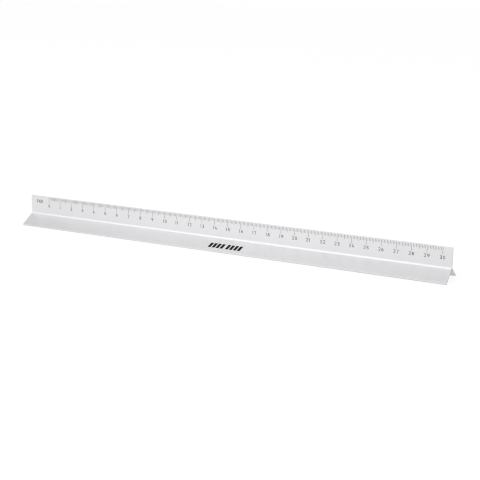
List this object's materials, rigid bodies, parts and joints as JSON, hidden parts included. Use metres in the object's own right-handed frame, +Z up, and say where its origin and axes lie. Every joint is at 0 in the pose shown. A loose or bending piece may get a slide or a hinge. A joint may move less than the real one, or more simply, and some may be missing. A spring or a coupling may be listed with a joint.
{
  "type": "triangular scale ruler",
  "caption": "Extruded aluminium drafting ruler with three fins at 120 degrees, a printed reduction scale on each fin, resting on two fin tips.",
  "frame": {"origin": "on the table, under the middle of the bar: the middle of the box's underside", "axes": "+X along the bar from the zero mark towards the last mark, +Y to the back, away from the upright fin's scale, +Z up"},
  "size_m": [0.3224, 0.0244, 0.0211],
  "materials": {
    "anodised_bar": "clear satin anodised, fine die lines along the bar, saw-cut ends",
    "scale_ink": "matt printed ink",
    "mark_ink": "dense matt printed ink"
  },
  "bodies": {
    "root": {"ruler_bar": "anodised_bar", "graduations_1to100": "scale_ink", "numerals_1to100": "scale_ink", "ratio_label_1to100": "scale_ink", "graduations_1to50": "scale_ink", "numerals_1to50": "scale_ink", "ratio_label_1to50": "scale_ink", "graduations_1to20": "scale_ink", "numerals_1to20": "scale_ink", "ratio_label_1to20": "scale_ink", "printed_mark": "mark_ink"}
  },
  "joints": []
}
